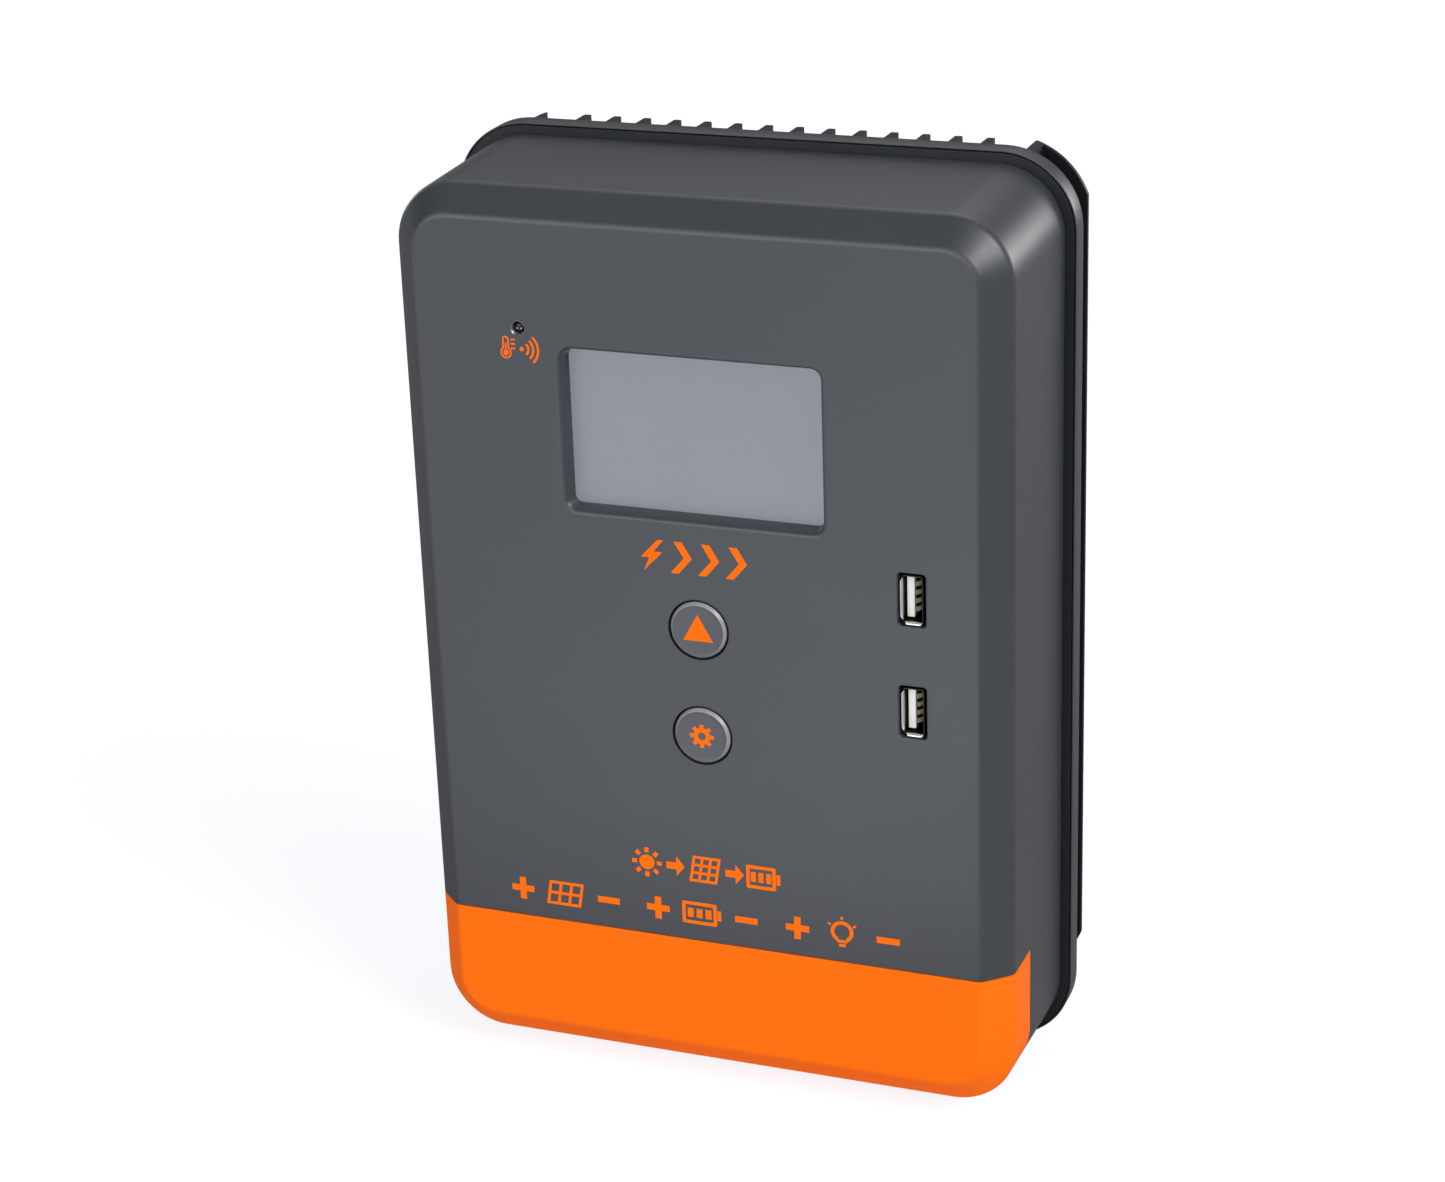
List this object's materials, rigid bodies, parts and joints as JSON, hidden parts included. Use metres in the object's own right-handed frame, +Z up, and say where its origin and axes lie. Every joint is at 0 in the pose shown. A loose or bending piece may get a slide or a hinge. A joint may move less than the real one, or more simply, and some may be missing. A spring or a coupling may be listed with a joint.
{
  "type": "solar charge controller",
  "caption": "Wall-mounted solar charge controller: grey moulded case with a display, two push buttons, USB outlets, a lift-off orange terminal cover and a finned rear heat sink.",
  "frame": {"origin": "middle of the lowest edge of the overall box: centred across the width and the depth, level with the bottom of the rear rim", "axes": "+Z up along the height, +X to the right seen from the front, +Y into the wall; the display faces -Y"},
  "size_m": [0.177, 0.077, 0.261],
  "materials": {
    "case_grey": "fine moulded satin texture, dark slate grey",
    "cover_orange": "smooth satin moulded orange",
    "black_anodised": "black anodised extruded aluminium, satin",
    "rubber": "matt black seal",
    "window": "clear hard-coated window",
    "lcd": "unlit reflective LCD behind its polariser",
    "steel": "bright plated steel",
    "black_plastic": "black moulded plastic",
    "white_plastic": "off-white moulded plastic",
    "board_green": "green solder mask on glass-fibre board",
    "copper": "enamelled copper wire",
    "ferrite": "coated powder-iron ring",
    "sleeve": "dark blue heat-shrink sleeve",
    "ribbon": "grey flat cable",
    "pad_blue": "soft thermal pad",
    "fuse_yellow": "translucent yellow fuse body",
    "terminal_green": "black glass-filled terminal housing",
    "brass": "plated brass"
  },
  "bodies": {
    "controller": {"front_cover": "case_grey", "rear_frame": "case_grey", "gasket": "rubber", "heat_sink": "black_anodised", "display_window": "window", "lcd_frame": "steel", "lcd_panel": "lcd", "up_switch": "black_plastic", "set_switch": "black_plastic", "usb_shell_upper": "steel", "usb_shell_lower": "steel", "usb_tongue_upper": "white_plastic", "usb_tongue_lower": "white_plastic", "temp_sensor": "black_plastic", "sensor_bezel": "steel", "display_board": "board_green", "power_board": "board_green", "ribbon_cable": "ribbon", "inductor_core": "ferrite", "inductor_winding": "copper", "capacitor_1": "sleeve", "capacitor_2": "sleeve", "capacitor_3": "sleeve", "fuse_1": "fuse_yellow", "fuse_2": "fuse_yellow", "mosfet_1": "black_plastic", "mosfet_2": "black_plastic", "mosfet_3": "black_plastic", "thermal_pad": "pad_blue", "mosfet_clamp": "steel", "terminal_block": "terminal_green", "case_screw_1": "steel", "case_screw_2": "steel", "case_screw_3": "steel", "case_screw_4": "steel", "cover_screw_1": "steel", "cover_screw_2": "steel", "display_board_screw_1": "steel", "display_board_screw_2": "steel", "power_board_screw_1": "steel", "power_board_screw_2": "steel"},
    "terminal_cover": {"terminal_cover": "cover_orange"},
    "up_button": {"up_button": "case_grey"},
    "set_button": {"set_button": "case_grey"},
    "up_plunger": {"up_plunger": "white_plastic"},
    "set_plunger": {"set_plunger": "white_plastic"},
    "terminal_screw_1": {"terminal_screw_1": "steel"},
    "clamp_cage_1": {"clamp_cage_1": "brass"},
    "terminal_screw_2": {"terminal_screw_2": "steel"},
    "clamp_cage_2": {"clamp_cage_2": "brass"},
    "terminal_screw_3": {"terminal_screw_3": "steel"},
    "clamp_cage_3": {"clamp_cage_3": "brass"},
    "terminal_screw_4": {"terminal_screw_4": "steel"},
    "clamp_cage_4": {"clamp_cage_4": "brass"},
    "terminal_screw_5": {"terminal_screw_5": "steel"},
    "clamp_cage_5": {"clamp_cage_5": "brass"},
    "terminal_screw_6": {"terminal_screw_6": "steel"},
    "clamp_cage_6": {"clamp_cage_6": "brass"}
  },
  "joints": [
    {"name": "terminal_cover_lift_off", "type": "slide", "parent": "controller", "child": "terminal_cover", "axis": [0, -1, 0], "range_m": [0, 0.06]},
    {"name": "up_button_press", "type": "slide", "parent": "controller", "child": "up_button", "axis": [0, 1, 0], "range_m": [0, 0.0005], "stiffness_N_per_m": 3000, "springref_m": -0.0001},
    {"name": "up_plunger_press", "type": "slide", "parent": "controller", "child": "up_plunger", "axis": [0, 1, 0], "range_m": [0, 0.0006]},
    {"name": "set_button_press", "type": "slide", "parent": "controller", "child": "set_button", "axis": [0, 1, 0], "range_m": [0, 0.0005], "stiffness_N_per_m": 3000, "springref_m": -0.0001},
    {"name": "set_plunger_press", "type": "slide", "parent": "controller", "child": "set_plunger", "axis": [0, 1, 0], "range_m": [0, 0.0006]},
    {"name": "terminal_screw_1_turn", "type": "hinge", "parent": "controller", "child": "terminal_screw_1", "pos_m": [-0.05, -0.0207, 0.026], "axis": [0, 1, 0], "range_deg": [0, 1810]},
    {"name": "clamp_cage_1_rise", "type": "slide", "parent": "controller", "child": "clamp_cage_1", "axis": [0, -1, 0], "range_m": [0, 0.004]},
    {"name": "terminal_screw_2_turn", "type": "hinge", "parent": "controller", "child": "terminal_screw_2", "pos_m": [-0.03, -0.0207, 0.026], "axis": [0, 1, 0], "range_deg": [0, 1810]},
    {"name": "clamp_cage_2_rise", "type": "slide", "parent": "controller", "child": "clamp_cage_2", "axis": [0, -1, 0], "range_m": [0, 0.004]},
    {"name": "terminal_screw_3_turn", "type": "hinge", "parent": "controller", "child": "terminal_screw_3", "pos_m": [-0.01, -0.0207, 0.026], "axis": [0, 1, 0], "range_deg": [0, 1810]},
    {"name": "clamp_cage_3_rise", "type": "slide", "parent": "controller", "child": "clamp_cage_3", "axis": [0, -1, 0], "range_m": [0, 0.004]},
    {"name": "terminal_screw_4_turn", "type": "hinge", "parent": "controller", "child": "terminal_screw_4", "pos_m": [0.01, -0.0207, 0.026], "axis": [0, 1, 0], "range_deg": [0, 1810]},
    {"name": "clamp_cage_4_rise", "type": "slide", "parent": "controller", "child": "clamp_cage_4", "axis": [0, -1, 0], "range_m": [0, 0.004]},
    {"name": "terminal_screw_5_turn", "type": "hinge", "parent": "controller", "child": "terminal_screw_5", "pos_m": [0.03, -0.0207, 0.026], "axis": [0, 1, 0], "range_deg": [0, 1810]},
    {"name": "clamp_cage_5_rise", "type": "slide", "parent": "controller", "child": "clamp_cage_5", "axis": [0, -1, 0], "range_m": [0, 0.004]},
    {"name": "terminal_screw_6_turn", "type": "hinge", "parent": "controller", "child": "terminal_screw_6", "pos_m": [0.05, -0.0207, 0.026], "axis": [0, 1, 0], "range_deg": [0, 1810]},
    {"name": "clamp_cage_6_rise", "type": "slide", "parent": "controller", "child": "clamp_cage_6", "axis": [0, -1, 0], "range_m": [0, 0.004]}
  ],
  "couplings": [
    {"joint": "up_plunger_press", "follows": "up_button_press", "ratio": 1},
    {"joint": "set_plunger_press", "follows": "set_button_press", "ratio": 1},
    {"joint": "terminal_screw_1_turn", "follows": "clamp_cage_1_rise", "rad_per_m": 7854},
    {"joint": "terminal_screw_2_turn", "follows": "clamp_cage_2_rise", "rad_per_m": 7854},
    {"joint": "terminal_screw_3_turn", "follows": "clamp_cage_3_rise", "rad_per_m": 7854},
    {"joint": "terminal_screw_4_turn", "follows": "clamp_cage_4_rise", "rad_per_m": 7854},
    {"joint": "terminal_screw_5_turn", "follows": "clamp_cage_5_rise", "rad_per_m": 7854},
    {"joint": "terminal_screw_6_turn", "follows": "clamp_cage_6_rise", "rad_per_m": 7854}
  ]
}
